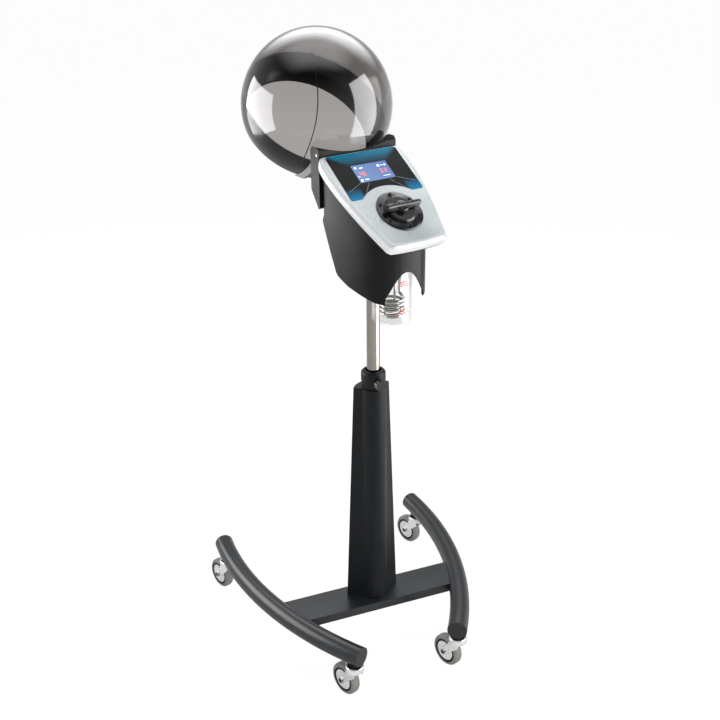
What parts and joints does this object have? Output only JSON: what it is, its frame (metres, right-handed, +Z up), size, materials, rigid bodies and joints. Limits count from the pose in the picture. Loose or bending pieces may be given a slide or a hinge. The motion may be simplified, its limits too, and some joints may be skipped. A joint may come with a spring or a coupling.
{
  "type": "hair steamer",
  "caption": "Free-standing salon hair steamer: castored bowed-leg stand, height-adjustable mast, boiler head with control panel and tilting clear hood.",
  "frame": {"origin": "on the floor, under the mast's axis", "axes": "+Z up along the mast, +Y towards the seated client under the hood, +X to the right seen from the operator's side"},
  "size_m": [0.6466, 0.6694, 1.5555],
  "materials": {
    "black_paint": "satin",
    "black_plastic": "matte",
    "bare_steel": "satin",
    "dark_plastic": "satin",
    "white_nylon": "satin",
    "chrome": "polished",
    "silver_paint": "satin",
    "gloss_overlay": "gloss",
    "screen": "gloss",
    "board": "satin",
    "black_gloss": "gloss",
    "clear_glass": "polished",
    "seal_rubber": "matte",
    "smoked_clear": "gloss",
    "pale_hub": "satin",
    "grey_tread": "matte"
  },
  "bodies": {
    "stand": {"crossbar": "black_paint", "left_leg_tube": "black_paint", "right_leg_tube": "black_paint", "leg_end_caps": "black_plastic", "caster_sockets": "bare_steel", "caster_stems": "bare_steel", "column_foot_plate": "bare_steel", "foot_bolts": "bare_steel", "column_tube": "bare_steel", "column_cover": "dark_plastic", "guide_bush": "white_nylon", "height_collar": "dark_plastic", "clamp_pad": "white_nylon"},
    "height_lock": {"lock_knob": "black_plastic", "lock_screw": "bare_steel"},
    "mast": {"mast_tube": "chrome", "mast_slider": "black_plastic", "swivel_spigot": "bare_steel"},
    "head": {"swivel_socket": "bare_steel", "chassis_plate": "bare_steel", "casing_shell": "dark_plastic", "fascia": "silver_paint", "overlay_panel": "gloss_overlay", "display": "screen", "control_board": "board", "transformer": "bare_steel", "filler_flange": "black_gloss", "head_screws": "black_paint", "filler_neck": "white_nylon", "boiler_lid": "bare_steel", "boiler_jar": "clear_glass", "jar_seal": "seal_rubber", "jar_clamp_ring": "black_plastic", "heating_coil": "bare_steel", "steam_duct": "white_nylon", "hood_saddle": "dark_plastic", "hood_pivot_pins": "bare_steel", "power_inlet": "black_plastic", "switch_housing": "black_plastic"},
    "rocker": {"power_switch": "black_gloss"},
    "filler_cap": {"filler_plug": "black_gloss", "plug_seal": "seal_rubber"},
    "cap_grip": {"filler_grip": "black_gloss"},
    "hood": {"hood_dome": "smoked_clear", "hood_ring": "black_gloss", "hood_bracket": "black_plastic", "hood_clamp_blocks": "black_plastic", "sensor_lead": "seal_rubber"},
    "back_left_swivel": {"back_left_fork": "chrome"},
    "back_left_roller": {"back_left_wheel": "pale_hub", "back_left_tread": "grey_tread"},
    "back_right_swivel": {"back_right_fork": "chrome"},
    "back_right_roller": {"back_right_wheel": "pale_hub", "back_right_tread": "grey_tread"},
    "front_left_swivel": {"front_left_fork": "chrome"},
    "front_left_roller": {"front_left_wheel": "pale_hub", "front_left_tread": "grey_tread"},
    "front_right_swivel": {"front_right_fork": "chrome"},
    "front_right_roller": {"front_right_wheel": "pale_hub", "front_right_tread": "grey_tread"}
  },
  "joints": [
    {"name": "height_lock_turn", "type": "hinge", "parent": "stand", "child": "height_lock", "pos_m": [0, -0.03, 0.7555], "axis": [0, -1, 0], "range_deg": [0, 360]},
    {"name": "mast_height", "type": "slide", "parent": "stand", "child": "mast", "axis": [0, 0, 1], "range_m": [-0.15, 0.15]},
    {"name": "head_swivel", "type": "hinge", "parent": "mast", "child": "head", "pos_m": [0, 0, 1.0555], "axis": [0, 0, 1], "range_deg": [-90, 90]},
    {"name": "power_rocker", "type": "hinge", "parent": "head", "child": "rocker", "pos_m": [0.03952, 0.03937, 1.09721], "axis": [0.977, 0.213, 0], "range_deg": [0, 12]},
    {"name": "filler_lift", "type": "slide", "parent": "head", "child": "filler_cap", "axis": [0.1213, -0.5562, 0.8221], "range_m": [0, 0.045]},
    {"name": "filler_grip_turn", "type": "hinge", "parent": "filler_cap", "child": "cap_grip", "pos_m": [0.02289, -0.10497, 1.20487], "axis": [0.1213, -0.5562, 0.8221], "range_deg": [0, 90]},
    {"name": "hood_tilt", "type": "hinge", "parent": "head", "child": "hood", "pos_m": [-0.01406, 0.06449, 1.3015], "axis": [0.977, 0.213, 0], "range_deg": [0, 15]},
    {"name": "back_left_swivel_turn", "type": "hinge", "parent": "stand", "child": "back_left_swivel", "pos_m": [-0.29399, 0.35908, 0.089], "axis": [0, 0, 1], "continuous": true},
    {"name": "back_left_wheel_turn", "type": "hinge", "parent": "back_left_swivel", "child": "back_left_roller", "pos_m": [-0.30418, 0.39047, 0.0415], "axis": [-0.9511, -0.309, 0], "continuous": true},
    {"name": "back_right_swivel_turn", "type": "hinge", "parent": "stand", "child": "back_right_swivel", "pos_m": [0.29399, 0.35908, 0.089], "axis": [0, 0, 1], "continuous": true},
    {"name": "back_right_wheel_turn", "type": "hinge", "parent": "back_right_swivel", "child": "back_right_roller", "pos_m": [0.28379, 0.39047, 0.0415], "axis": [-0.9511, -0.309, 0], "continuous": true},
    {"name": "front_left_swivel_turn", "type": "hinge", "parent": "stand", "child": "front_left_swivel", "pos_m": [-0.14123, -0.20615, 0.089], "axis": [0, 0, 1], "continuous": true},
    {"name": "front_left_wheel_turn", "type": "hinge", "parent": "front_left_swivel", "child": "front_left_roller", "pos_m": [-0.15143, -0.17476, 0.0415], "axis": [-0.9511, -0.309, 0], "continuous": true},
    {"name": "front_right_swivel_turn", "type": "hinge", "parent": "stand", "child": "front_right_swivel", "pos_m": [0.14123, -0.20615, 0.089], "axis": [0, 0, 1], "continuous": true},
    {"name": "front_right_wheel_turn", "type": "hinge", "parent": "front_right_swivel", "child": "front_right_roller", "pos_m": [0.13103, -0.17476, 0.0415], "axis": [-0.9511, -0.309, 0], "continuous": true}
  ]
}
